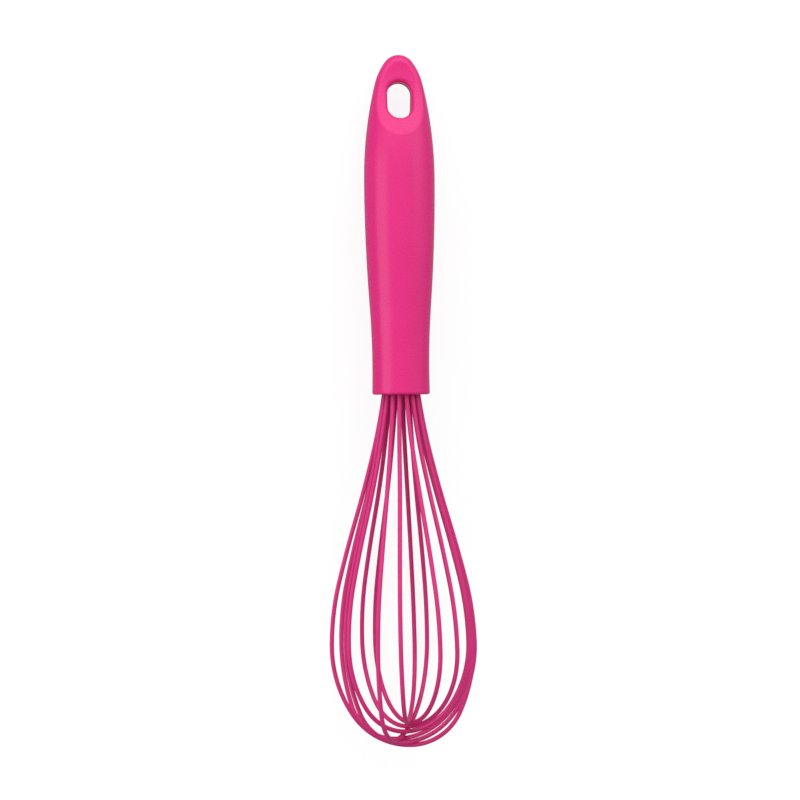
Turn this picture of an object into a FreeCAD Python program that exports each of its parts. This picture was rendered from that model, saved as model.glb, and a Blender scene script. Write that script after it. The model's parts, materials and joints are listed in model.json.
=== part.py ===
import FreeCAD, Part
import math
import os

import Sketcher
from FreeCAD import Placement, Rotation, Vector

# A hand balloon whisk: a soft grip moulded over a rigid core, and eight spring-steel loops in
# silicone sleeves, whose sixteen ends are potted in the core's socket.
#
# Every piece is drawn in the whisk's own frame: the long axis is Z, z = 0 is the mouth of the
# handle, the handle is above it and the balloon below, and the hanging hole runs along Y. The
# last step lays the whisk on a table.

doc = FreeCAD.newDocument("balloon_whisk")

# ---------------------------------------------------------------- driving dimensions (mm, degrees)

SIZES = [
    ("handle_length", 137.4, "mouth to the tip of the handle"),
    ("palm_radius", 14.3, "largest radius, where the palm closes"),
    ("palm_drop", 50.6, "tip down to the largest radius"),
    ("waist_height", 11.0, "mouth up to the narrowest place"),
    ("waist_curve", 340.0, "radius of the hollow curve at the waist"),
    ("back_curve", 165.0, "radius of the long curve above the palm"),
    ("shoulder_curve", 25.0, "radius of the curve that leads into the nose"),
    ("nose_curve", 6.8, "radius of the nose"),
    ("rim_round", 1.0, "rounding of the outer edge at the mouth"),
    ("mouth_round", 0.5, "rounding of the inner edge at the mouth"),
    ("scoop_curve", 43.0, "radius of the hollow either side of the hanging hole"),
    ("scoop_drop", 7.4, "tip down to the thinnest place between the scoops"),
    ("scoop_thickness", 9.7, "thickness left between the scoops"),
    ("scoop_round", 2.4, "rounding of the scoops' edge"),
    ("hole_width", 9.9, "hanging hole, across the handle"),
    ("hole_length", 15.1, "hanging hole, along the handle"),
    ("hole_drop", 18.85, "tip down to the middle of the hanging hole"),
    ("hole_round", 1.8, "rounding of the hanging hole's edges"),
    ("skin_thickness", 1.3, "soft grip over the core"),
    ("core_wall", 1.7, "core around the socket, at the waist"),
    ("core_drop", 39.4, "tip down to the top of the core's round part"),
    ("tang_thickness", 5.0, "flat tang that carries the hanging hole"),
    ("tang_rim", 1.8, "width of the tang around its own hole"),
    ("tang_root", 2.0, "depth that the tang's stem runs into the core's round part"),
    ("socket_depth", 31.0, "mouth to the floor of the socket"),
    ("socket_gap", 1.0, "free space between the sleeves and the socket wall"),
    ("recess_depth", 5.0, "mouth up to the face of the wire guide"),
    ("guide_thickness", 4.0, "wire guide"),
    ("potting_length", 16.0, "epoxy plug above the guide"),
    ("sleeve_grip", 7.0, "length of sleeve held in the epoxy"),
    ("anchor_thickness", 2.0, "anchor disc above the epoxy"),
    ("wire_stub", 1.5, "wire that stands out above the anchor disc"),
    ("disc_clearance", 0.1, "gap around a disc in the socket"),
    ("hole_clearance", 0.05, "gap around a wire in a drilled hole"),
    ("wire_count", 16, "wire ends, two for each loop"),
    ("first_wire_angle", 12.4, "direction of the first wire's hole"),
    ("leg_circle", 6.6, "radius of the circle that the wires leave on"),
    ("steel_diameter", 1.1, "spring-steel wire"),
    ("sleeve_diameter", 1.8, "silicone sleeve, outside"),
    ("head_length", 142.8, "mouth to the far end of the balloon"),
    ("belly_radius", 29.0, "wire centres at the widest place"),
    ("bowl_depth", 40.4, "widest place to the outermost wire's lowest point"),
    ("flank_depth", 50.0, "mouth down to the steepest place of the flank"),
    ("flank_radius", 18.8, "wire centres at the steepest place of the flank"),
    ("flank_angle", 17.0, "slope of the wires there"),
    ("flare_angle", 8.5, "slope of the wires at the mouth"),
    ("lean_angle", -4.5, "direction in which the loops lean"),
    ("nest_gap", 0.04, "gap between loops where they cross at the tip"),
]

# Each loop is bent by hand, so no two lie alike: how far it is turned about the long axis at its
# belly, how far its tip leans sideways, and how far its lowest point slides along the loop.
LOOPS = [
    # turn, lean, slide
    (9, 4.5, -5),
    (-6, 3.5, -2),
    (8, 0, -10),
    (0, 2.5, -10),
    (10, 2, 1),
    (2, 3, 5),
    (2, 1, 7),
    (13, 0, -3),
]

# The loops cross one another at the tip in this order, from the outermost in.
NESTING = (8, 1, 7, 3, 2, 6, 5, 4)

# Two lengths closer than this are taken as equal, and two curved edges' boxes within the wider one.
SAME = 1e-6
SAME_BOX = 0.2

# Loops at the tip may be this much closer than the gap that they are nested with.
NEST_TOLERANCE = 0.01

sheet = doc.addObject("Spreadsheet::Sheet", "sizes")
loop_sizes = []
for number, (turn, lean, slide) in enumerate(LOOPS, start=1):
    loop_sizes += [
        ("loop_turn_%d" % number, turn, "loop %d: turn at the belly" % number),
        ("loop_lean_%d" % number, lean, "loop %d: sideways lean of the tip" % number),
        ("loop_slide_%d" % number, slide, "loop %d: slide of the lowest point along the loop" % number),
    ]
for row, (alias, value, note) in enumerate(SIZES + loop_sizes, start=1):
    sheet.set("A%d" % row, note)
    sheet.set("B%d" % row, str(value))
    sheet.setAlias("B%d" % row, alias)
doc.recompute()


def size(alias):
    return float(sheet.get(alias))


# Sizes that follow from the driving ones, as expressions of the sheet.
SLEEVE_RADIUS = "sizes.sleeve_diameter / 2"
STEEL_RADIUS = "sizes.steel_diameter / 2"
SOCKET_RADIUS = "sizes.leg_circle + %s + sizes.socket_gap" % SLEEVE_RADIUS
WAIST_RADIUS = "%s + sizes.core_wall + sizes.skin_thickness" % SOCKET_RADIUS
PALM_HEIGHT = "sizes.handle_length - sizes.palm_drop"
HOLE_HEIGHT = "sizes.handle_length - sizes.hole_drop"
CORE_TOP = "sizes.handle_length - sizes.core_drop"
GUIDE_TOP = "sizes.recess_depth + sizes.guide_thickness"
POTTING_TOP = "%s + sizes.potting_length" % GUIDE_TOP
ANCHOR_TOP = "%s + sizes.anchor_thickness" % POTTING_TOP
DISC_RADIUS = "%s - sizes.disc_clearance" % SOCKET_RADIUS

sleeve_radius = size("sleeve_diameter") / 2
steel_radius = size("steel_diameter") / 2
socket_radius = size("leg_circle") + sleeve_radius + size("socket_gap")
waist_radius = socket_radius + size("core_wall") + size("skin_thickness")
palm_height = size("handle_length") - size("palm_drop")
hole_height = size("handle_length") - size("hole_drop")
core_top = size("handle_length") - size("core_drop")
guide_top = size("recess_depth") + size("guide_thickness")
potting_top = guide_top + size("potting_length")
anchor_top = potting_top + size("anchor_thickness")


# ---------------------------------------------------------------- drawing helpers

def new_body(name):
    return doc.addObject("PartDesign::Body", name)


def origin_plane(body, role):
    return next(item for item in body.Origin.OriginFeatures if item.Role == role)


def new_sketch(body, name, role, height=None):
    """A sketch on one of the body's origin planes, raised along its normal by an expression."""
    sketch = body.newObject("Sketcher::SketchObject", name)
    sketch.AttachmentSupport = [(origin_plane(body, role), "")]
    sketch.MapMode = "FlatFace"
    if height is not None:
        sketch.setExpression("AttachmentOffset.Base.z", height)
    return sketch


def constrain(sketch, expression, *args):
    """Add a dimension to the sketch and bind it to an expression of the sheet."""
    index = sketch.addConstraint(Sketcher.Constraint(*args))
    sketch.setExpression("Constraints[%d]" % index, expression)


def add_circle(sketch, radius, radius_expression, centre=(0.0, 0.0), centre_expressions=None):
    circle = sketch.addGeometry(Part.Circle(Vector(centre[0], centre[1], 0), Vector(0, 0, 1), radius))
    constrain(sketch, radius_expression, "Radius", circle, radius)
    if centre_expressions is None:
        sketch.addConstraint(Sketcher.Constraint("Coincident", circle, 3, -1, 1))
    else:
        constrain(sketch, centre_expressions[0], "DistanceX", -1, 1, circle, 3, centre[0])
        constrain(sketch, centre_expressions[1], "DistanceY", -1, 1, circle, 3, centre[1])


def add_arc(sketch, centre, radius, first, last):
    """An arc about centre, counter-clockwise from angle first to angle last, in radians."""
    circle = Part.Circle(Vector(centre[0], centre[1], 0), Vector(0, 0, 1), radius)
    return sketch.addGeometry(Part.ArcOfCircle(circle, first, last))


def add_line(sketch, start, end):
    return sketch.addGeometry(Part.LineSegment(Vector(start[0], start[1], 0), Vector(end[0], end[1], 0)))


def add_slot(sketch, half_width, half_width_expression, straight, straight_expression):
    """An upright slot whose middle is at the hanging hole."""
    low = hole_height - straight / 2
    high = hole_height + straight / 2
    top = add_arc(sketch, (0, high), half_width, 0, math.pi)
    bottom = add_arc(sketch, (0, low), half_width, math.pi, 2 * math.pi)
    left = add_line(sketch, (-half_width, high), (-half_width, low))
    right = add_line(sketch, (half_width, low), (half_width, high))
    for first, first_end, second, second_end in [
        (top, 2, left, 1),
        (left, 2, bottom, 1),
        (bottom, 2, right, 1),
        (right, 2, top, 1),
    ]:
        sketch.addConstraint(Sketcher.Constraint("Tangent", first, first_end, second, second_end))
    sketch.addConstraint(Sketcher.Constraint("Equal", top, bottom))
    sketch.addConstraint(Sketcher.Constraint("PointOnObject", top, 3, -2))
    sketch.addConstraint(Sketcher.Constraint("PointOnObject", bottom, 3, -2))
    constrain(sketch, half_width_expression, "Radius", top, half_width)
    constrain(sketch, "%s + (%s) / 2" % (HOLE_HEIGHT, straight_expression), "DistanceY", -1, 1, top, 3, high)
    constrain(sketch, "%s - (%s) / 2" % (HOLE_HEIGHT, straight_expression), "DistanceY", -1, 1, bottom, 3, low)


def revolve(body, sketch):
    feature = body.newObject("PartDesign::Revolution", sketch.Name + "_turned")
    feature.Profile = sketch
    feature.ReferenceAxis = (sketch, ["V_Axis"])
    feature.Angle = 360.0
    doc.recompute()
    return feature


def pad(body, sketch, length_expression, both_ways=False):
    feature = body.newObject("PartDesign::Pad", sketch.Name + "_pad")
    feature.Profile = sketch
    feature.setExpression("Length", length_expression)
    feature.Midplane = both_ways
    doc.recompute()
    return feature


def pocket(body, sketch, length_expression=None, both_ways=False, upward=False):
    """Cut the sketch out of the body, and make sure that something was cut."""
    before = body.Shape.Volume
    feature = body.newObject("PartDesign::Pocket", sketch.Name + "_cut")
    feature.Profile = sketch
    feature.Midplane = both_ways
    feature.Reversed = upward
    if length_expression is None:
        feature.Type = 1
    else:
        feature.setExpression("Length", length_expression)
    doc.recompute()
    if not body.Shape.Volume < before - SAME:
        raise RuntimeError(sketch.Name + " cut nothing")
    return feature


def polar_pattern(body, feature):
    pattern = body.newObject("PartDesign::PolarPattern", feature.Name + "_ring")
    pattern.Originals = [feature]
    pattern.Axis = (feature.Profile[0], ["N_Axis"])
    pattern.Angle = 360.0
    pattern.setExpression("Occurrences", "sizes.wire_count")
    body.Tip = pattern
    doc.recompute()
    return pattern


def fillet(body, base, wanted, radius_expression):
    """Round every edge of the base feature's shape that the test wanted(edge) picks."""
    names = ["Edge%d" % (index + 1) for index, edge in enumerate(base.Shape.Edges) if wanted(edge)]
    if not names:
        raise RuntimeError("no edge to round on " + base.Name)
    feature = body.newObject("PartDesign::Fillet", base.Name + "_round")
    feature.Base = (base, names)
    feature.setExpression("Radius", radius_expression)
    doc.recompute()
    return feature


def add_outline(sketch, inset, inset_expression, top_height=None):
    """The handle's outline, moved inward by an inset.

    The hollow waist arc, the palm arc and the long back arc are tangent to each other. With a
    top_height the outline ends there with a flat top; without one it goes on through the shoulder
    and the nose to the tip.
    """
    waist_curve = size("waist_curve")
    back_curve = size("back_curve")
    reach_in = size("palm_radius") - waist_radius
    rise = palm_height - size("waist_height")
    span = waist_curve - reach_in
    palm_curve = (span ** 2 + rise ** 2 - waist_curve ** 2) / (2 * reach_in)
    waist_centre = (waist_radius + waist_curve, size("waist_height"))
    palm_centre = (size("palm_radius") - palm_curve, palm_height)
    back_centre = (size("palm_radius") - back_curve, palm_height)

    start_height = inset
    waist_r = waist_curve + inset
    start_angle = math.pi - math.asin((start_height - waist_centre[1]) / waist_r)
    join_angle = math.atan2(waist_centre[1] - palm_centre[1], waist_centre[0] - palm_centre[0])
    waist = add_arc(sketch, waist_centre, waist_r, join_angle + math.pi, start_angle)
    palm = add_arc(sketch, palm_centre, palm_curve - inset, join_angle, 0)

    if top_height is None:
        shoulder_curve = size("shoulder_curve")
        nose_curve = size("nose_curve")
        tip = size("handle_length")
        nose_centre = (0.0, tip - nose_curve)
        gap = math.hypot(nose_centre[0] - back_centre[0], nose_centre[1] - back_centre[1])
        to_back = back_curve - shoulder_curve
        to_nose = shoulder_curve - nose_curve
        lean = math.atan2(nose_centre[1] - back_centre[1], nose_centre[0] - back_centre[0])
        bend = math.acos((to_back ** 2 + gap ** 2 - to_nose ** 2) / (2 * to_back * gap))
        back_end = lean - bend
        shoulder_centre = (
            back_centre[0] + to_back * math.cos(back_end),
            back_centre[1] + to_back * math.sin(back_end),
        )
        nose_start = math.atan2(nose_centre[1] - shoulder_centre[1], nose_centre[0] - shoulder_centre[0])
        back = add_arc(sketch, back_centre, back_curve, 0, back_end)
        shoulder = add_arc(sketch, shoulder_centre, shoulder_curve, back_end, nose_start)
        nose = add_arc(sketch, nose_centre, nose_curve, nose_start, math.pi / 2)
        sketch.addConstraint(Sketcher.Constraint("Tangent", back, 2, shoulder, 1))
        sketch.addConstraint(Sketcher.Constraint("Tangent", shoulder, 2, nose, 1))
        constrain(sketch, "sizes.shoulder_curve", "Radius", shoulder, shoulder_curve)
        constrain(sketch, "sizes.nose_curve", "Radius", nose, nose_curve)
        sketch.addConstraint(Sketcher.Constraint("PointOnObject", nose, 3, -2))
        sketch.addConstraint(Sketcher.Constraint("PointOnObject", nose, 2, -2))
        axis = add_line(sketch, (0, tip), (0, start_height))
        sketch.addConstraint(Sketcher.Constraint("Coincident", nose, 2, axis, 1))
        constrain(sketch, "sizes.handle_length", "DistanceY", -1, 1, axis, 1, tip)
    else:
        back_r = back_curve - inset
        back_end = math.asin((top_height - palm_height) / back_r)
        back = add_arc(sketch, back_centre, back_r, 0, back_end)
        edge_x = back_centre[0] + back_r * math.cos(back_end)
        top = add_line(sketch, (edge_x, top_height), (0, top_height))
        axis = add_line(sketch, (0, top_height), (0, start_height))
        sketch.addConstraint(Sketcher.Constraint("Coincident", back, 2, top, 1))
        sketch.addConstraint(Sketcher.Constraint("Horizontal", top))
        sketch.addConstraint(Sketcher.Constraint("Coincident", top, 2, axis, 1))
        sketch.addConstraint(Sketcher.Constraint("PointOnObject", axis, 1, -2))
        constrain(sketch, CORE_TOP, "DistanceY", -1, 1, axis, 1, top_height)

    start_x = waist_centre[0] + waist_r * math.cos(start_angle)
    mouth = add_line(sketch, (0, start_height), (start_x, start_height))
    sketch.addConstraint(Sketcher.Constraint("Coincident", axis, 2, mouth, 1))
    sketch.addConstraint(Sketcher.Constraint("PointOnObject", axis, 2, -2))
    sketch.addConstraint(Sketcher.Constraint("Horizontal", mouth))
    sketch.addConstraint(Sketcher.Constraint("Coincident", mouth, 2, waist, 2))
    sketch.addConstraint(Sketcher.Constraint("Tangent", waist, 1, palm, 1))
    sketch.addConstraint(Sketcher.Constraint("Tangent", palm, 2, back, 1))
    if inset > 0:
        constrain(sketch, inset_expression, "DistanceY", -1, 1, mouth, 1, start_height)
    else:
        sketch.addConstraint(Sketcher.Constraint("PointOnObject", mouth, 1, -1))
    constrain(sketch, "sizes.waist_curve + %s" % inset_expression, "Radius", waist, waist_r)
    constrain(sketch, "sizes.back_curve - %s" % inset_expression, "Radius", back, back_curve - inset)
    constrain(sketch, "sizes.waist_height", "DistanceY", -1, 1, waist, 3, waist_centre[1])
    constrain(sketch, "%s + sizes.waist_curve" % WAIST_RADIUS, "DistanceX", -1, 1, waist, 3, waist_centre[0])
    constrain(sketch, PALM_HEIGHT, "DistanceY", -1, 1, palm, 3, palm_height)
    constrain(sketch, PALM_HEIGHT, "DistanceY", -1, 1, back, 3, palm_height)
    constrain(sketch, "sizes.back_curve - sizes.palm_radius", "DistanceX", back, 3, -1, 1, -back_centre[0])


def is_face_of(shape, test):
    """A test for edges that bound a face of the shape that passes the given test."""
    edges = [edge for face in shape.Faces if test(face) for edge in face.Edges]
    return lambda edge: any(edge.isSame(other) for other in edges)


def is_cylinder(face, radius):
    surface = face.Surface
    return isinstance(surface, Part.Cylinder) and abs(surface.Radius - radius) < SAME


# ---------------------------------------------------------------- rigid core, with its tang

core_blank = new_body("core_blank")
core_outline = new_sketch(core_blank, "core_outline", "XZ_Plane")
add_outline(core_outline, size("skin_thickness"), "sizes.skin_thickness", core_top)
revolve(core_blank, core_outline)

# The flat tang is as wide as its own hole plus a rim, and runs from inside the round part up
# around the hanging hole.
TANG_HALF = "sizes.hole_width / 2 + sizes.skin_thickness + sizes.tang_rim"
HOLE_STRAIGHT = "sizes.hole_length - sizes.hole_width"
tang_half = size("hole_width") / 2 + size("skin_thickness") + size("tang_rim")
hole_straight = size("hole_length") - size("hole_width")
tang_top = new_sketch(core_blank, "tang_top", "XZ_Plane")
add_slot(tang_top, tang_half, TANG_HALF, hole_straight, HOLE_STRAIGHT)
pad(core_blank, tang_top, "sizes.tang_thickness", both_ways=True)

stem = new_sketch(core_blank, "tang_stem", "XZ_Plane")
stem_low = core_top - size("tang_root")
sides = [
    add_line(stem, (-tang_half, stem_low), (tang_half, stem_low)),
    add_line(stem, (tang_half, stem_low), (tang_half, hole_height)),
    add_line(stem, (tang_half, hole_height), (-tang_half, hole_height)),
    add_line(stem, (-tang_half, hole_height), (-tang_half, stem_low)),
]
for first, second in zip(sides, sides[1:] + sides[:1]):
    stem.addConstraint(Sketcher.Constraint("Coincident", first, 2, second, 1))
for side in (sides[0], sides[2]):
    stem.addConstraint(Sketcher.Constraint("Horizontal", side))
for side in (sides[1], sides[3]):
    stem.addConstraint(Sketcher.Constraint("Vertical", side))
constrain(stem, "2 * (%s)" % TANG_HALF, "DistanceX", sides[0], 1, sides[0], 2, 2 * tang_half)
constrain(stem, TANG_HALF, "DistanceX", -1, 1, sides[0], 2, tang_half)
constrain(stem, "%s - sizes.tang_root" % CORE_TOP, "DistanceY", -1, 1, sides[0], 1, stem_low)
constrain(stem, HOLE_HEIGHT, "DistanceY", -1, 1, sides[2], 1, hole_height)
pad(core_blank, stem, "sizes.tang_thickness", both_ways=True)

tang_hole = new_sketch(core_blank, "tang_hole", "XZ_Plane")
add_slot(
    tang_hole,
    size("hole_width") / 2 + size("skin_thickness"),
    "sizes.hole_width / 2 + sizes.skin_thickness",
    hole_straight,
    HOLE_STRAIGHT,
)
pocket(core_blank, tang_hole, both_ways=True)

socket = doc.addObject("Part::Cylinder", "socket")
socket.setExpression("Radius", SOCKET_RADIUS)
socket.setExpression("Height", "sizes.socket_depth")

handle_core = doc.addObject("Part::Cut", "handle_core")
handle_core.Base = core_blank
handle_core.Tool = socket


# ---------------------------------------------------------------- soft grip

grip_blank = new_body("grip_blank")
grip_outline = new_sketch(grip_blank, "grip_outline", "XZ_Plane")
add_outline(grip_outline, 0.0, "0")
turned = revolve(grip_blank, grip_outline)

# Two hollows, front and back, thin the handle around the hanging hole. Their axes lie across it.
scoops = new_sketch(grip_blank, "scoops", "YZ_Plane")
scoop_height = size("handle_length") - size("scoop_drop")
scoop_offset = size("scoop_thickness") / 2 + size("scoop_curve")
for way in (-1, 1):
    circle = scoops.addGeometry(
        Part.Circle(Vector(way * scoop_offset, scoop_height, 0), Vector(0, 0, 1), size("scoop_curve"))
    )
    constrain(scoops, "sizes.scoop_curve", "Radius", circle, size("scoop_curve"))
    ends = (-1, 1, circle, 3) if way > 0 else (circle, 3, -1, 1)
    constrain(scoops, "sizes.scoop_thickness / 2 + sizes.scoop_curve", "DistanceX", *ends, scoop_offset)
    constrain(scoops, "sizes.handle_length - sizes.scoop_drop", "DistanceY", -1, 1, circle, 3, scoop_height)
scooped = pocket(grip_blank, scoops, both_ways=True)
on_scoop = is_face_of(scooped.Shape, lambda face: is_cylinder(face, size("scoop_curve")))
fillet(grip_blank, scooped, on_scoop, "sizes.scoop_round")

hang_hole = new_sketch(grip_blank, "hang_hole", "XZ_Plane")
add_slot(hang_hole, size("hole_width") / 2, "sizes.hole_width / 2", hole_straight, HOLE_STRAIGHT)
holed = pocket(grip_blank, hang_hole, both_ways=True)


def hole_face(face):
    if is_cylinder(face, size("hole_width") / 2):
        return True
    flat = isinstance(face.Surface, Part.Plane)
    return flat and abs(abs(face.CenterOfMass.x) - size("hole_width") / 2) < SAME


on_hole = is_face_of(holed.Shape, hole_face)
fillet(
    grip_blank,
    holed,
    lambda edge: on_hole(edge) and not isinstance(edge.Curve, Part.Line),
    "sizes.hole_round",
)

mouth_hole = new_sketch(grip_blank, "mouth_hole", "XY_Plane")
add_circle(mouth_hole, socket_radius, SOCKET_RADIUS)
mouth_cut = pocket(grip_blank, mouth_hole, "2 * sizes.skin_thickness", upward=True)


def ring_at_mouth(radius):
    def test(edge):
        box = edge.BoundBox
        return abs(box.ZMax) < SAME_BOX and abs(box.XMax - radius) < SAME_BOX
    return test


at_mouth = [edge for edge in mouth_cut.Shape.Edges if abs(edge.BoundBox.ZMax) < SAME_BOX]
outer_radius = max(edge.BoundBox.XMax for edge in at_mouth)
rim_done = fillet(grip_blank, mouth_cut, ring_at_mouth(outer_radius), "sizes.rim_round")
fillet(grip_blank, rim_done, ring_at_mouth(socket_radius), "sizes.mouth_round")

handle_grip = doc.addObject("Part::Cut", "handle_grip")
handle_grip.Base = grip_blank
handle_grip.Tool = core_blank


# ---------------------------------------------------------------- what holds the wire ends

def wire_hole_sketch(body, name, height, radius, radius_expression):
    """One hole on the leg circle, at the first wire's angle."""
    sketch = new_sketch(body, name, "XY_Plane", height)
    angle = math.radians(size("first_wire_angle"))
    centre = (size("leg_circle") * math.cos(angle), size("leg_circle") * math.sin(angle))
    expressions = (
        "sizes.leg_circle * cos(sizes.first_wire_angle * 1deg)",
        "sizes.leg_circle * sin(sizes.first_wire_angle * 1deg)",
    )
    add_circle(sketch, radius, radius_expression, centre, expressions)
    return sketch


def drilled_disc(name, bottom, radius_expression, thickness_expression, holes):
    """A disc in the socket with one ring of holes for each (radius, depth) wanted.

    A hole without a depth goes right through, and one with a depth starts at the bottom face.
    """
    body = new_body(name)
    disc = new_sketch(body, name + "_disc", "XY_Plane", bottom)
    add_circle(disc, socket_radius, radius_expression)
    pad(body, disc, thickness_expression)
    for index, (hole_expression, depth_expression) in enumerate(holes, start=1):
        sketch = wire_hole_sketch(body, "%s_hole_%d" % (name, index), bottom, steel_radius, hole_expression)
        hole = pocket(body, sketch, depth_expression, upward=True)
        polar_pattern(body, hole)
    return body


wire_guide = drilled_disc(
    "wire_guide",
    "sizes.recess_depth",
    DISC_RADIUS,
    "sizes.guide_thickness",
    [("%s + sizes.hole_clearance" % SLEEVE_RADIUS, "sizes.guide_thickness")],
)
potting_plug = drilled_disc(
    "potting_plug",
    GUIDE_TOP,
    SOCKET_RADIUS,
    "sizes.potting_length",
    [(SLEEVE_RADIUS, "sizes.sleeve_grip"), (STEEL_RADIUS, "sizes.potting_length")],
)
anchor_disc = drilled_disc(
    "anchor_disc",
    POTTING_TOP,
    DISC_RADIUS,
    "sizes.anchor_thickness",
    [("%s + sizes.hole_clearance" % STEEL_RADIUS, "sizes.anchor_thickness")],
)


# ---------------------------------------------------------------- wire loops

def arc_edge(start, heading, end):
    """The arc from start to end that leaves start along heading, or a line if it is straight."""
    chord = end - start
    along = chord.dot(heading)
    across = chord - heading * along
    if across.Length < SAME:
        return Part.LineSegment(start, end).toShape()
    inward = Vector(across).normalize()
    side = chord.dot(inward)
    radius = chord.Length ** 2 / (2 * side)
    half_turn = math.atan2(side, along)
    middle = start + inward * (radius * (1 - math.cos(half_turn))) + heading * (radius * math.sin(half_turn))
    return Part.Arc(start, middle, end).toShape()


def biarc(start, heading, end, end_heading):
    """Two tangent arcs that join two points with the given directions at each."""
    chord = end - start
    both = heading + end_heading
    bend = 1 - heading.dot(end_heading)
    if bend < SAME ** 2:
        reach = chord.dot(chord) / (4 * chord.dot(heading))
    else:
        lead = chord.dot(both)
        reach = (math.sqrt(lead ** 2 + 2 * bend * chord.dot(chord)) - lead) / (2 * bend)
    middle = (start + end + (heading - end_heading) * reach) * 0.5
    middle_heading = (end - end_heading * reach - start - heading * reach).normalize()
    return [arc_edge(start, heading, middle), arc_edge(middle, middle_heading, end)]


def polar(radius, degrees, height=0.0):
    angle = math.radians(degrees)
    return Vector(radius * math.cos(angle), radius * math.sin(angle), height)


class Loop:
    """The centre line of one wire loop, whose tip is rise above the outermost loop's."""

    def __init__(self, number, rise):
        self.number = number
        self.rise = rise
        pitch = 360.0 / size("wire_count")
        self.leg_angle = size("first_wire_angle") + pitch * (number - 1)
        self.belly_angle = self.leg_angle + size("loop_turn_%d" % number)
        self.outer_reach = size("head_length") - sleeve_radius
        self.reach = self.outer_reach - rise
        self.lean = polar(size("loop_lean_%d" % number), size("lean_angle"))

    def lean_over(self, point, heading):
        """Lean a place on the loop sideways, in proportion to its depth below the mouth."""
        moved = point - self.lean * (point.z / self.reach)
        turned = heading - self.lean * (heading.z / self.reach)
        return moved, turned.normalize()

    def side(self, half_turn, leg_top):
        """Places and directions down one side, from the leg's end to the belly."""
        leg = polar(size("leg_circle"), self.leg_angle + half_turn)
        belly = polar(size("belly_radius"), self.belly_angle + half_turn)
        outward = (belly - leg).normalize()
        flare = math.radians(size("flare_angle"))
        mouth = leg + outward * (size("recess_depth") * math.tan(flare / 2))
        share = (size("flank_radius") - leg.Length) / (size("belly_radius") - leg.Length)
        flank = leg + (belly - leg) * share
        slope = math.radians(size("flank_angle"))
        down = Vector(0, 0, -1)
        belly_depth = self.outer_reach - size("bowl_depth")
        places = [
            (leg + Vector(0, 0, leg_top), down),
            (leg + Vector(0, 0, size("recess_depth")), down),
            (mouth, outward * math.sin(flare) + down * math.cos(flare)),
        ]
        for place, heading in [
            (flank - Vector(0, 0, size("flank_depth")), outward * math.sin(slope) + down * math.cos(slope)),
            (belly - Vector(0, 0, belly_depth), down),
        ]:
            places.append(self.lean_over(place, heading))
        return places

    def path(self, leg_top):
        down_side = self.side(0.0, leg_top)
        up_side = self.side(180.0, leg_top)
        across = polar(1.0, self.belly_angle + 180.0)
        tip = self.lean - across * size("loop_slide_%d" % self.number) - Vector(0, 0, self.reach)
        places = down_side + [(tip, across)] + [(place, -heading) for place, heading in reversed(up_side)]
        edges = []
        for (start, heading), (end, end_heading) in zip(places, places[1:]):
            if (end - start).cross(heading).Length < SAME:
                edges.append(Part.LineSegment(start, end).toShape())
            else:
                edges += biarc(start, heading, end, end_heading)
        return Part.Wire(edges)

    def room_beside(self, others):
        """The least distance from this centre line to any of the others."""
        route = self.path(guide_top)
        return min(route.distToShape(other.path(guide_top))[0] for other in others)


def nested_loops():
    """All the loops by number, each risen at the tip just enough to clear those outside it."""
    spacing = size("sleeve_diameter") + size("nest_gap")
    placed = {}
    rise = 0.0
    for number in NESTING:
        loop = Loop(number, rise)
        shortfall = spacing - loop.room_beside(placed.values()) if placed else 0.0
        while shortfall > NEST_TOLERANCE:
            loop = Loop(number, loop.rise + shortfall)
            shortfall = spacing - loop.room_beside(placed.values())
        rise = loop.rise
        placed[number] = loop
        print("loop %d: its tip is %.2f mm above the outermost one's" % (number, rise))
    return placed


loops = nested_loops()


def tube(name, loop, leg_top_expression, leg_top, radius_expression):
    """A round bar swept along a loop whose legs end at leg_top."""
    route = doc.addObject("Part::Feature", name + "_route")
    route.Shape = loop.path(leg_top)
    section = doc.addObject("Part::Circle", name + "_section")
    section.setExpression("Radius", radius_expression)
    angle = "(%s * 1deg)" % loop.leg_angle
    section.setExpression("Placement.Base.x", "sizes.leg_circle * cos%s" % angle)
    section.setExpression("Placement.Base.y", "sizes.leg_circle * sin%s" % angle)
    section.setExpression("Placement.Base.z", leg_top_expression)
    bar = doc.addObject("Part::Sweep", name)
    bar.Sections = [section]
    bar.Spine = (route, ["Edge%d" % (index + 1) for index in range(len(route.Shape.Edges))])
    bar.Solid = True
    return bar


STUB_TOP = "%s + sizes.wire_stub" % ANCHOR_TOP
SLEEVE_TOP = "%s + sizes.sleeve_grip" % GUIDE_TOP
steel_loops = []
sleeves = []
for number in range(1, len(LOOPS) + 1):
    loop = loops[number]
    steel = tube("steel_loop_%d" % number, loop, STUB_TOP, anchor_top + size("wire_stub"), STEEL_RADIUS)
    blank = tube("sleeve_blank_%d" % number, loop, SLEEVE_TOP, guide_top + size("sleeve_grip"), SLEEVE_RADIUS)
    bore = tube("sleeve_bore_%d" % number, loop, POTTING_TOP, potting_top, STEEL_RADIUS)
    sleeve = doc.addObject("Part::Cut", "silicone_coat_%d" % number)
    sleeve.Base = blank
    sleeve.Tool = bore
    steel_loops.append(steel)
    sleeves.append(sleeve)
doc.recompute()


# ---------------------------------------------------------------- laid on a table

def check(objects):
    for item in doc.Objects:
        if "Invalid" in item.State or "Error" in item.State:
            raise RuntimeError("%s failed: %s" % (item.Name, item.State))
    for item in objects:
        if item.Shape.isNull() or not item.Shape.isValid():
            raise RuntimeError(item.Label + " has no valid shape")


nodes = [handle_grip, handle_core, wire_guide, potting_plug, anchor_disc] + steel_loops + sleeves
check(nodes)

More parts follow.
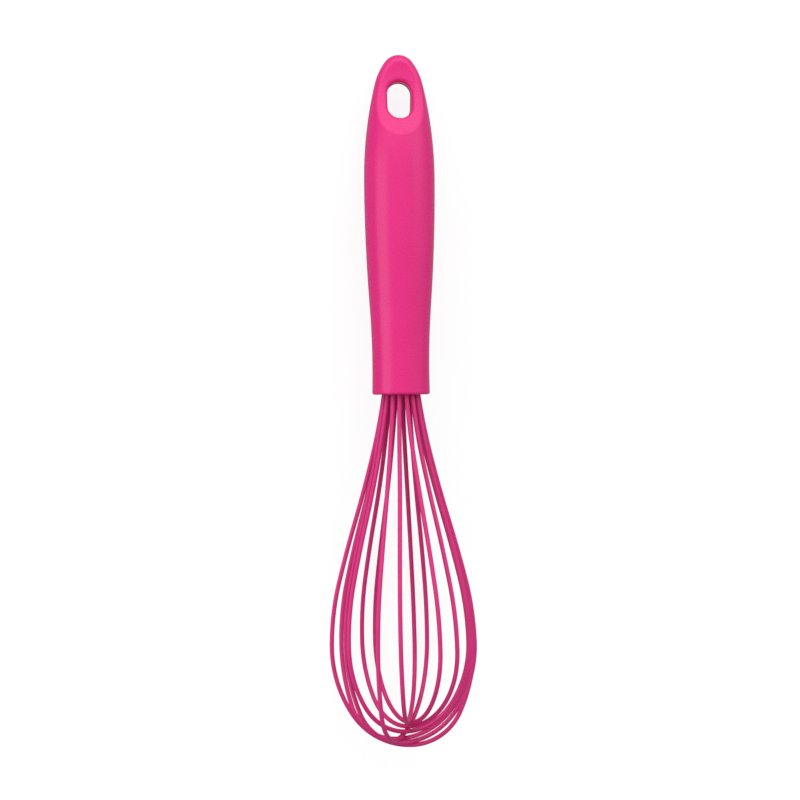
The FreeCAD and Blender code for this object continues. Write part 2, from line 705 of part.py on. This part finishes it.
# The whisk rests on three places: the handle's palm and the two neighbouring wires of loops 4 and
# 5 at the belly. Its roll and tilt are turned until all three are at the same height above a wide
# table that is well below them.
resting = [sleeves[3].Shape, sleeves[4].Shape, handle_grip.Shape]
laid_down = Rotation(Vector(1, 0, 0), -90)
table_depth = size("palm_radius") + size("belly_radius") + size("head_length")
table_width = 4 * (size("handle_length") + size("head_length"))
table = Part.makePlane(
    table_width, table_width, Vector(-table_width / 2, -table_width / 2, -table_depth)
)


def laid(roll, tilt):
    return Rotation(Vector(1, 0, 0), tilt) * laid_down * Rotation(Vector(0, 0, 1), roll)


def drops(turn):
    """For each resting piece: its height above the table, and the places that are nearest."""
    found = []
    for shape in resting:
        moved = shape.copy()
        moved.Placement = Placement(Vector(0, 0, 0), turn)
        found.append(moved.distToShape(table))
    return found


roll = 90.0 - (loops[4].belly_angle + loops[5].belly_angle) / 2
tilt = 0.0
for attempt in range(8):
    near, far, handle = drops(laid(roll, tilt))
    near_at = near[1][0][0]
    far_at = far[1][0][0]
    handle_at = handle[1][0][0]
    roll += math.degrees(math.atan2(near[0] - far[0], near_at.x - far_at.x))
    wires = (near[0] + far[0]) / 2
    tilt -= math.degrees(math.atan2(handle[0] - wires, handle_at.y - (near_at.y + far_at.y) / 2))
spread = max(near[0], far[0], handle[0]) - min(near[0], far[0], handle[0])
print("roll %.2f, tilt %.2f, the three resting places agree to %.4f mm" % (roll, tilt, spread))
if spread > size("nest_gap") / 2:
    raise RuntimeError("the whisk doesn't lie on its three resting places")

turn = laid(roll, tilt)
for item in nodes:
    item.Placement = Placement(Vector(0, 0, 0), turn)
doc.recompute()

corner = FreeCAD.BoundBox()
for item in nodes:
    corner.add(item.Shape.optimalBoundingBox(False, False))
floor_height = min(drop[0] for drop in drops(turn)) - table_depth
shift = Vector(-corner.Center.x, -corner.Center.y, -floor_height)
for item in nodes:
    item.Placement = Placement(shift, turn)
doc.recompute()


# ---------------------------------------------------------------- checked and written

VOLUME_TOLERANCE = 0.002

def check_tube(item, outer, inner, leg_top):
    """The volume must be the section's area times the centre line's length."""
    number = int(item.Label.rsplit("_", 1)[1])
    length = loops[number].path(leg_top).Length
    expected = math.pi * (outer ** 2 - inner ** 2) * length
    if abs(item.Shape.Volume / expected - 1) > VOLUME_TOLERANCE:
        raise RuntimeError("%s: volume %.2f, expected %.2f" % (item.Label, item.Shape.Volume, expected))
    return length


check(nodes)
for steel, sleeve in zip(steel_loops, sleeves):
    length = check_tube(steel, steel_radius, 0.0, anchor_top + size("wire_stub"))
    check_tube(sleeve, sleeve_radius, steel_radius, guide_top + size("sleeve_grip"))
    print("%s: %.1f mm of wire" % (steel.Label, length))

os.makedirs("parts", exist_ok=True)
for item in nodes:
    item.Shape.exportStep("parts/%s.step" % item.Label)
    box = item.Shape.optimalBoundingBox(False, False)
    print(
        "%-18s %d solid %9.1f mm3  x %.1f..%.1f  y %.1f..%.1f  z %.1f..%.1f"
        % (item.Label, len(item.Shape.Solids), item.Shape.Volume,
           box.XMin, box.XMax, box.YMin, box.YMax, box.ZMin, box.ZMax)
    )
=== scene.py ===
# %% [markdown]
# # A balloon whisk
#
# The whisk is a magenta soft-touch handle and eight wire loops in silicone sleeves. Its solids come
# ready-made and to size. This file gives them their finish, adds the fine lines that moulding leaves
# down the grip's sides, and sets the camera and the lights. Everything is in metres, with Z up, and
# the whisk lies on the floor.

# %% Load the fixed frame
import bpy
import json
import math
from mathutils import Matrix, Vector


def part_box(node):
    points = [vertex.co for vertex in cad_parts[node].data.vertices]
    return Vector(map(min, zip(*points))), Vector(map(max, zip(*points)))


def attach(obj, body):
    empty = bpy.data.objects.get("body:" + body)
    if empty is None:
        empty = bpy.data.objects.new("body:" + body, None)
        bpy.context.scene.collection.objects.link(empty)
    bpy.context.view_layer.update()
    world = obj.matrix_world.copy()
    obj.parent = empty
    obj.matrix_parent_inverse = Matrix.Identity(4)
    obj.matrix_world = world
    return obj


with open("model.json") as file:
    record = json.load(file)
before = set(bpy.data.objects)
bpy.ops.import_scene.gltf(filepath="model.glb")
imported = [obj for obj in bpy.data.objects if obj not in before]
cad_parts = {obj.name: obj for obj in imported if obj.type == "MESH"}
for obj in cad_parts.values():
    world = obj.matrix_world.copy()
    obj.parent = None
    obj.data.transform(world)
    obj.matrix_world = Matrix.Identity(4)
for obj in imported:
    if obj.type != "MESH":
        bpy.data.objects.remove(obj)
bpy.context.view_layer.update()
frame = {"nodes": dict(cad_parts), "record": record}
MM = 0.001
print("frame loaded with", len(frame["nodes"]), "nodes")

# %% [markdown]
# ## The whisk's own directions
#
# The whisk lies a little tilted, so its length, its front and its side aren't the world's X, Y and
# Z. Two discs inside the handle sit on its long axis, so the line between their middles is that
# axis, and the hanging hole's own axis points out of the front. With these, every later position
# is given in plain terms: so far to the side, so far along the handle, so far to the front.

# %% Find the long axis, the front and the side
GUIDE_DEPTH = 7.0    # millimetres from the handle's mouth to the middle of the wire guide


def middle(node):
    """The middle of a node's box."""
    low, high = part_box(node)
    return (low + high) / 2


hang_hole = next(mount for mount in frame["record"]["mounts"] if mount["name"] == "hang_hole")
guide_middle = middle("wire_guide")
LONG = (middle("anchor_disc") - guide_middle).normalized()
FRONT = Vector(hang_hole["axis"])
FRONT = (FRONT - LONG * FRONT.dot(LONG)).normalized()
SIDE = LONG.cross(FRONT)
MOUTH = guide_middle - LONG * GUIDE_DEPTH * MM
print("long axis", [round(value, 4) for value in LONG], "side", [round(value, 4) for value in SIDE])


def place(side, long, front):
    """A point given in millimetres from the middle of the handle's mouth."""
    return MOUTH + (SIDE * side + LONG * long + FRONT * front) * MM


# %% [markdown]
# ## Camera
#
# The camera looks down on the whisk's front from about a metre. A wide lens close by would show the
# near wires larger than the far ones, so this is a long lens from further off, which keeps them
# almost the same. It is turned a few degrees about the whisk's length, because the whisk doesn't lie
# square to it, and rolled half a degree. The three directions of the view are worked out first and
# then put into one matrix, which is easier to follow than three angles.

# %% Set up the camera
CAMERA_TURN = math.radians(-4.5)    # about the whisk's length, towards its left
CAMERA_ROLL = math.radians(0.47)
CAMERA_DISTANCE = 1.01
CAMERA_LENS = 112.3
SENSOR_WIDTH = 36.0
CLIP_END = 20.0
AIM_LEFT = 0.445    # millimetres from the handle's mouth to the point that the camera aims at
AIM_DOWN = 2.2

sight = Matrix.Rotation(CAMERA_TURN, 3, LONG) @ FRONT
across = LONG.cross(sight)
right = across * math.cos(CAMERA_ROLL) - LONG * math.sin(CAMERA_ROLL)
up = LONG * math.cos(CAMERA_ROLL) + across * math.sin(CAMERA_ROLL)
view_centre = MOUTH - (right * AIM_LEFT + up * AIM_DOWN) * MM

camera_data = bpy.data.cameras.new("camera")
camera_data.lens = CAMERA_LENS
camera_data.sensor_width = SENSOR_WIDTH
camera_data.clip_end = CLIP_END
camera = bpy.data.objects.new("camera", camera_data)
bpy.context.scene.collection.objects.link(camera)
turned = Matrix((right, up, sight)).transposed().to_4x4()
camera.matrix_world = Matrix.Translation(view_centre + sight * CAMERA_DISTANCE) @ turned
bpy.context.scene.camera = camera
print("camera at", [round(value, 3) for value in camera.matrix_world.translation])

# %% [markdown]
# ## Colours
#
# Colours are written as the hex values that designers use. Those are sRGB, which spaces its steps
# as the eye does, and Blender's shaders reckon in linear light. One function converts them by the
# sRGB standard's own formula, so that no colour below has to be given in linear numbers.

# %% From hex to linear light


def linear(hex_colour):
    """An sRGB hex colour as linear RGBA."""
    values = [int(hex_colour[i:i + 2], 16) / 255 for i in (1, 3, 5)]
    return tuple(v / 12.92 if v <= 0.04045 else ((v + 0.055) / 1.055) ** 2.4 for v in values) + (1.0,)


print("#808080 is", round(linear("#808080")[0], 3), "in linear light")

# %% [markdown]
# ## Nodes
#
# Every material here is a small tree of shader nodes. One function adds a node of any kind, sets it
# up and links it in a single call, so that a material reads as a list of what it is made of. A
# noise gives values round a half, and hardly any beyond the range below, so a colour ramp's two
# shades are set at the ends of that range. Set at 0 and 1, the two would hardly show.

# %% Add and link nodes
NOISE_RANGE = (0.3, 0.7)


def new_material(name):
    """An empty material and its node tree."""
    material = bpy.data.materials.new(name)
    material.use_nodes = True
    material.node_tree.nodes.clear()
    return material, material.node_tree


def add_node(tree, kind, inputs=None, shades=None, **settings):
    """Add one node. An input is a number, a colour or another node's output, under the socket's
    name, or its number where sockets share a name. The shades are a colour ramp's two colours."""
    node = tree.nodes.new(kind)
    for name, value in settings.items():
        setattr(node, name, value)
    for name, value in (inputs or {}).items():
        if isinstance(value, bpy.types.NodeSocket):
            tree.links.new(value, node.inputs[name])
        else:
            node.inputs[name].default_value = value
    if shades:
        for point, position, shade in zip(node.color_ramp.elements, NOISE_RANGE, shades):
            point.position = position
            point.color = linear(shade)
    return node


print("ramps run from", NOISE_RANGE[0], "to", NOISE_RANGE[1])

# %% [markdown]
# ## What the plastics and the rubbers share
#
# A dyed plastic or rubber is never quite one colour: the pigment drifts a little as the melt flows,
# in soft clouds that are here half a centimetre to two centimetres wide. Its skin has a fine grain.
# That one grain both scatters the gloss and dents the surface, so the same noise drives the
# roughness and the bumps. A noise is sized by its scale, and a scale of one over a length in metres
# makes its lumps about that long.

# %% Pigment and grain


def pigment(tree, where, clouds, dark, light):
    """A colour that drifts between two shades over clouds of the given size in millimetres."""
    noise = add_node(tree, "ShaderNodeTexNoise", {"Vector": where, "Scale": 1.0 / (clouds * MM)})
    shade = add_node(
        tree, "ShaderNodeValToRGB", {"Fac": noise.outputs["Fac"]}, shades=(dark, light)
    )
    return shade.outputs["Color"]


def skin(tree, where, grain, smooth, rough, depth, strength, detail=2.0):
    """The roughness and the bumps of one grain, whose size and depth are in millimetres."""
    noise = add_node(
        tree, "ShaderNodeTexNoise",
        {"Vector": where, "Scale": 1.0 / (grain * MM), "Detail": detail},
    )
    roughness = add_node(
        tree, "ShaderNodeMapRange",
        {"Value": noise.outputs["Fac"], "To Min": smooth, "To Max": rough},
    )
    bump = add_node(
        tree, "ShaderNodeBump",
        {"Height": noise.outputs["Fac"], "Distance": depth * MM, "Strength": strength},
    )
    return roughness.outputs["Result"], bump.outputs["Normal"]


print("a 1 mm grain has a noise scale of", 1.0 / MM)

# %% [markdown]
# ## Soft-touch grip
#
# The grip is a thermoplastic elastomer, injection moulded over a rigid core. The pigment goes right
# through, so there is no paint to chip. The mould is spark-eroded, and that fine grain is what turns
# a wet-looking gloss into satin: the long softboxes still show in it, but with soft edges. The
# grain is about 0.1 mm on the real thing, too fine to show. It is drawn coarser, and so faint
# that it breaks up the gloss without looking like leather.

# %% Material: soft-touch elastomer
GRIP_CLOUDS = 22.0
GRIP_GRAIN = 0.7

elastomer, tree = new_material("soft_touch_elastomer_moulded")
where = add_node(tree, "ShaderNodeTexCoord").outputs["Object"]
roughness, normal = skin(
    tree, where, GRIP_GRAIN, smooth=0.25, rough=0.31, depth=0.01, strength=0.12, detail=1.0
)
shader = add_node(
    tree, "ShaderNodeBsdfPrincipled",
    {
        "Base Color": pigment(tree, where, GRIP_CLOUDS, dark="#E8227F", light="#EB2583"),
        "Roughness": roughness,
        "Normal": normal,
        "IOR": 1.43,
    },
)
add_node(tree, "ShaderNodeOutputMaterial", {"Surface": shader.outputs["BSDF"]})
print("grip: grain", GRIP_GRAIN, "mm, clouds", GRIP_CLOUDS, "mm")

# %% [markdown]
# ## Silicone sleeves
#
# Each wire runs in an extruded sleeve of silicone rubber. Silicone is duller than the grip and a
# little deeper in colour, and it has a faint bloom where it is seen edge on, which a touch of sheen
# gives. The skin that leaves the die is uneven rather than patterned. The real unevenness is finer
# than it is drawn here, because on a sleeve 1.8 mm across nothing finer would show.

# %% Material: extruded silicone
SLEEVE_CLOUDS = 9.0
SLEEVE_GRAIN = 0.5

silicone, tree = new_material("silicone_rubber_extruded")
where = add_node(tree, "ShaderNodeTexCoord").outputs["Object"]
roughness, normal = skin(
    tree, where, SLEEVE_GRAIN, smooth=0.33, rough=0.43, depth=0.01, strength=0.3
)
shader = add_node(
    tree, "ShaderNodeBsdfPrincipled",
    {
        "Base Color": pigment(tree, where, SLEEVE_CLOUDS, dark="#D5257A", light="#DB2A7F"),
        "Roughness": roughness,
        "Normal": normal,
        "IOR": 1.41,
        "Sheen Weight": 0.05,
        "Sheen Roughness": 0.4,
    },
)
add_node(tree, "ShaderNodeOutputMaterial", {"Surface": shader.outputs["BSDF"]})
print("sleeves: grain", SLEEVE_GRAIN, "mm, clouds", SLEEVE_CLOUDS, "mm")

# %% [markdown]
# ## Plastics inside the handle
#
# The guide that spaces the wires sits in the mouth and can be seen between them, so it is moulded
# nylon in the same colour family. Its colour is set deeper than the grip's. That is partly the nylon's
# own colour and partly painted shade, which stands in for the shade that falls in the mouth between
# the wires. The polypropylene core and the plug of cast epoxy are hidden, and still get what they
# are made of, because someone may cut the handle open. Nylon and polypropylene come out of the mould
# dull. Epoxy sets with a glossy skin, so its roughness is low and its unevenness broad. The three
# differ only in their numbers, so one function makes them all.

# %% Materials: nylon, polypropylene, epoxy
INNER_CLOUDS = 6.0


def inner_plastic(name, dark, light, smooth, rough, ior, grain):
    """A plastic in two shades for a piece inside the handle."""
    material, tree = new_material(name)
    where = add_node(tree, "ShaderNodeTexCoord").outputs["Object"]
    roughness, normal = skin(tree, where, grain, smooth, rough, depth=0.02, strength=0.3)
    shader = add_node(
        tree, "ShaderNodeBsdfPrincipled",
        {
            "Base Color": pigment(tree, where, INNER_CLOUDS, dark, light),
            "Roughness": roughness,
            "Normal": normal,
            "IOR": ior,
        },
    )
    add_node(tree, "ShaderNodeOutputMaterial", {"Surface": shader.outputs["BSDF"]})
    print(name, "made with an IOR of", ior)
    return material


# the guide's nylon is deeper than the grip, partly its own colour and partly painted shade for the mouth
# between the wires
nylon = inner_plastic(
    "nylon_moulded", "#A0155A", "#AA185F", smooth=0.45, rough=0.55, ior=1.53, grain=0.5
)
polypropylene = inner_plastic(
    "polypropylene_moulded", "#8C1450", "#961856", smooth=0.4, rough=0.5, ior=1.49, grain=0.6
)
epoxy = inner_plastic(
    "epoxy_cast", "#C79A4A", "#D8B066", smooth=0.12, rough=0.22, ior=1.55, grain=1.5
)

# %% [markdown]
# ## Steel inside the handle and the sleeves
#
# Spring wire is drawn through a die, and the disc is stamped from rolled sheet. Both processes drag
# fine marks one way, so the gloss of bare steel is streaky. A noise stretched one way gives such
# streaks: its scale along the marks is far smaller than across them. The whisk lies along Y, so the
# wire's marks run along Y, and the sheet's run across it. The real marks are finer than 0.3 mm, and
# at their true width the streaks would blend into a plain grey.

# %% Materials: drawn and rolled steel
DRAW_MARKS = 0.3
STRETCH = 0.05    # the scale along the marks, against 1 across them


def steel(name, scale):
    """Bare steel with fine marks; scale gives the pattern's scale along X, Y and Z."""
    material, tree = new_material(name)
    where = add_node(tree, "ShaderNodeTexCoord").outputs["Object"]
    streaked = add_node(tree, "ShaderNodeMapping", {"Vector": where, "Scale": scale})
    marks = add_node(
        tree, "ShaderNodeTexNoise",
        {"Vector": streaked.outputs["Vector"], "Scale": 1.0 / (DRAW_MARKS * MM), "Detail": 3.0},
    )
    colour = add_node(
        tree, "ShaderNodeValToRGB", {"Fac": marks.outputs["Fac"]}, shades=("#BDBDC0", "#CDCDD0")
    )
    roughness = add_node(
        tree, "ShaderNodeMapRange",
        {"Value": marks.outputs["Fac"], "To Min": 0.22, "To Max": 0.36},
    )
    shader = add_node(
        tree, "ShaderNodeBsdfPrincipled",
        {
            "Base Color": colour.outputs["Color"],
            "Roughness": roughness.outputs["Result"],
            "Metallic": 1.0,
        },
    )
    add_node(tree, "ShaderNodeOutputMaterial", {"Surface": shader.outputs["BSDF"]})
    print(name, "has marks", round(DRAW_MARKS / STRETCH, 1), "mm long")
    return material


spring_steel = steel("spring_steel_drawn", (1.0, STRETCH, 1.0))
disc_steel = steel("stainless_sheet_rolled", (STRETCH, 1.0, 1.0))

# %% [markdown]
# ## Which piece is made of what
#
# A solid gets its finish by its name. The loops and their sleeves are numbered, and what comes
# before the number says what kind of piece it is, so one short table covers all the solids. A
# loop over the table's names alone would miss a solid that the table forgot. This one goes over
# the solids instead, and stops if it meets a name that isn't in the table.

# %% Give every solid its material
FINISHES = {
    "handle_grip": elastomer,
    "handle_core": polypropylene,
    "wire_guide": nylon,
    "potting_plug": epoxy,
    "anchor_disc": disc_steel,
    "steel_loop": spring_steel,
    "silicone_coat": silicone,
}
for name, node in frame["nodes"].items():
    kind = name if name in FINISHES else name.rsplit("_", 1)[0]
    node.data.materials.clear()
    node.data.materials.append(FINISHES[kind])
print("finished", len(frame["nodes"]), "solids")

# %% [markdown]
# ## Mould line of the grip
#
# The two halves of the grip's mould close at its widest line, as seen from the front, and leave a
# hair-fine raised line down each side. It could be drawn into the material as a bump, but a bump
# can't catch the light on a silhouette, so the line gets a shape of its own. Its points are found
# by casting rays inwards from outside the grip. Up the handle they go straight in, and round its
# end they all aim at one point on the long axis. The line stops short of the very end, where it is
# taken to be buffed away so that a hand doesn't feel it.

# %% Find where the mould line runs
LINE_RADIUS = 0.14    # millimetres, as all lengths here
LINE_PROUD = 0.05
LINE_START = 1.8
LINE_STEP = 2.0
RAY_LENGTH = 60.0
TURN_BACK = 24.0      # from the handle's end back to the point that the last rays aim at
BUFFED_FROM = 76      # degrees from straight across, where the line stops
FAN_STEP = 3

grip = frame["nodes"]["handle_grip"]
bpy.context.view_layer.update()
grip_length = max((vertex.co - MOUTH).dot(LONG) for vertex in grip.data.vertices) / MM
turn_height = grip_length - TURN_BACK


def on_surface(target, inward):
    """The grip's surface met on the way to target, sunk so that the line stands just proud."""
    start = target - inward * RAY_LENGTH * MM
    hit, surface, normal, _ = grip.ray_cast(start, inward)
    if not hit:
        raise ValueError("a ray for the mould line missed the grip")
    return surface - normal * (LINE_RADIUS - LINE_PROUD) * MM


def mould_line(way):
    """The points of the line on one side, from the mouth to the tip; way is 1 or -1."""
    points = []
    height = LINE_START
    while height < turn_height:
        points.append(on_surface(place(0.0, height, 0.0), SIDE * -way))
        height += LINE_STEP
    for degrees in range(0, BUFFED_FROM, FAN_STEP):
        angle = math.radians(degrees)
        inward = -(SIDE * way * math.cos(angle) + LONG * math.sin(angle))
        points.append(on_surface(place(0.0, turn_height, 0.0), inward))
    return points


print("grip", round(grip_length, 1), "mm long, last rays aim at", round(turn_height, 1), "mm up it")

# %% [markdown]
# ## Shape of the mould line
#
# A thin mesh tube would do, but a curve with a round bevel is the same thing in fewer steps: it
# takes the points and a radius. Its splines run straight from point to point, so they pass through
# every one, and the points are so close together that no corner shows. At both ends the radius
# shrinks, so that the line fades into the grip. It has the grip's own material, because it is the
# same rubber.

# %% Build the mould line
END_RADIUS = 0.3      # a share of the line's full radius
ROUNDNESS = 3

line_curve = bpy.data.curves.new("grip_mould_line", "CURVE")
line_curve.dimensions = "3D"
line_curve.bevel_depth = LINE_RADIUS * MM
line_curve.bevel_resolution = ROUNDNESS
for way in (1, -1):
    points = mould_line(way)
    spline = line_curve.splines.new("POLY")
    spline.points.add(len(points) - 1)
    for point, position in zip(spline.points, points):
        point.co = (*position, 1.0)
    for end in (0, -1):
        spline.points[end].radius = END_RADIUS
    print("mould line", way, "has", len(points), "points")
mould_line_piece = bpy.data.objects.new("grip_mould_line", line_curve)
bpy.context.scene.collection.objects.link(mould_line_piece)
line_curve.materials.append(elastomer)
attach(mould_line_piece, "root")

# %% [markdown]
# ## Floor
#
# The whisk lies on a plain white sweep. A white floor that is only matt would have to be lit so
# hard that the whisk burns out, so this one is a mid grey, which bounces little light, and it adds a
# glow for the camera. The two add up to white. Where the whisk takes light off the grey there is
# less than white, so it still has a soft shadow. Mirrored rays see only a part of the glow: with
# all of it, satin skin at a glancing angle is edged with bright lines, which a studio takes out
# with dark cards beside the sweep.

# %% Build the floor
FLOOR_HALF = 4.0
FLOOR_GLOW = 0.83
MIRROR_GLOW = 0.2


def seen_directly(tree):
    """1 for rays from the camera and through glass, part for mirrored ones, 0 for bounced light."""
    rays = add_node(tree, "ShaderNodeLightPath")
    mirrored = add_node(
        tree, "ShaderNodeMath",
        {0: rays.outputs["Is Glossy Ray"], 1: MIRROR_GLOW}, operation="MULTIPLY",
    )
    either = add_node(
        tree, "ShaderNodeMath",
        {0: rays.outputs["Is Camera Ray"], 1: rays.outputs["Is Transmission Ray"]}, operation="MAXIMUM",
    )
    return add_node(
        tree, "ShaderNodeMath",
        {0: either.outputs[0], 1: mirrored.outputs[0]}, operation="MAXIMUM",
    )


floor_mesh = bpy.data.meshes.new("floor")
floor_corners = [(-1, -1), (1, -1), (1, 1), (-1, 1)]
floor_mesh.from_pydata([(x * FLOOR_HALF, y * FLOOR_HALF, 0.0) for x, y in floor_corners], [], [(0, 1, 2, 3)])
floor = bpy.data.objects.new("floor", floor_mesh)
bpy.context.scene.collection.objects.link(floor)

paper, tree = new_material("white_paper_sweep")
seen = seen_directly(tree)
share = add_node(tree, "ShaderNodeMath", {0: seen.outputs[0], 1: FLOOR_GLOW}, operation="MULTIPLY")
matt = add_node(tree, "ShaderNodeBsdfDiffuse", {"Color": linear("#828282")})
glow = add_node(tree, "ShaderNodeEmission", {"Color": linear("#FFFFFF"), "Strength": share.outputs[0]})
both = add_node(tree, "ShaderNodeAddShader", {0: matt.outputs[0], 1: glow.outputs[0]})
add_node(tree, "ShaderNodeOutputMaterial", {"Surface": both.outputs[0]})
floor_mesh.materials.append(paper)
print("floor", 2 * FLOOR_HALF, "m square, glowing at", FLOOR_GLOW)

# %% [markdown]
# ## Light from all around
#
# A studio's pale walls send back soft light from every side, and in Blender that is the world. This
# studio is brighter beyond the handle than beyond the balloon, so the world is shaded from one end
# to the other: the dot product of a ray's direction and the whisk's length says how far the ray
# points to the handle's end. The camera sees the world as plain white, like the floor.

# %% Build the world
DIM_END = 0.3
BRIGHT_END = 0.95
MIX_FACTOR, MIX_A, MIX_B = 0, 2, 3    # the numbers of a mix node's sockets

world = bpy.data.worlds.new("studio")
world.use_nodes = True
tree = world.node_tree
tree.nodes.clear()
seen = seen_directly(tree)
direction = add_node(tree, "ShaderNodeTexCoord")
lengthways = add_node(
    tree, "ShaderNodeVectorMath",
    {0: direction.outputs["Generated"], 1: tuple(LONG)}, operation="DOT_PRODUCT",
)
soft_light = add_node(
    tree, "ShaderNodeMapRange",
    {"Value": lengthways.outputs["Value"], "From Min": -1.0, "To Min": DIM_END, "To Max": BRIGHT_END},
)
level = add_node(
    tree, "ShaderNodeMix",
    {MIX_FACTOR: seen.outputs[0], MIX_A: soft_light.outputs["Result"], MIX_B: 1.0}, data_type="FLOAT",
)
sky = add_node(
    tree, "ShaderNodeBackground", {"Color": linear("#FFFFFF"), "Strength": level.outputs[0]}
)
add_node(tree, "ShaderNodeOutputWorld", {"Surface": sky.outputs[0]})
bpy.context.scene.world = world
print("world light runs from", DIM_END, "to", BRIGHT_END)

# %% [markdown]
# ## Lights
#
# A tall softbox stands close on the left. The satin grip shows it as one broad, pale stripe down
# its length, whose edge on the camera's side is clear. A weaker panel on the right keeps the far side
# from going dull, and a wide one leant towards the handle's end lights the front evenly. The front
# mirrors that one away from the camera, not into it, which is why it stays a deep colour. A lamp's
# power is spread over its area, so the power is worked out from how bright the panel should look.

# %% Place the softboxes


def softbox(name, turn, lean, width, length, distance, along, radiance):
    """A panel that faces the whisk, turned sideways from the camera's line and leant to its end.
    Angles are in degrees and lengths in metres; along is how far up the whisk it aims."""
    sideways = math.radians(turn)
    endways = math.radians(lean)
    out = (sight * math.cos(sideways) + across * math.sin(sideways)) * math.cos(endways)
    out = (out + LONG * math.sin(endways)).normalized()
    width_way = LONG.cross(out).normalized()
    length_way = out.cross(width_way)
    data = bpy.data.lights.new(name, "AREA")
    data.shape = "RECTANGLE"
    data.size = width
    data.size_y = length
    data.energy = radiance * math.pi * width * length
    lamp = bpy.data.objects.new(name, data)
    bpy.context.scene.collection.objects.link(lamp)
    facing = Matrix((width_way, length_way, out)).transposed().to_4x4()
    lamp.matrix_world = Matrix.Translation(MOUTH + LONG * along + out * distance) @ facing
    print(name, "gives", round(data.energy, 1), "W at a radiance of", radiance)


softbox(
    "softbox_left", turn=-61.0, lean=0.0, width=0.68, length=1.0, distance=0.9, along=-0.22, radiance=1.25
)
softbox(
    "panel_right", turn=64.0, lean=14.0, width=0.6, length=0.7, distance=1.0, along=0.22, radiance=0.7
)
softbox(
    "panel_end", turn=0.0, lean=52.0, width=1.9, length=1.3, distance=1.15, along=0.0, radiance=1.0
)

# %% [markdown]
# ## Colour management
#
# Blender's usual view, AgX, softens bright colours as film does, which turns a strong magenta pale.
# The Standard view shows each colour as it was written, and nothing on the whisk is bright enough
# to need softening.

# %% Show colours as they are written
bpy.context.scene.view_settings.view_transform = "Standard"
print("view transform", bpy.context.scene.view_settings.view_transform)
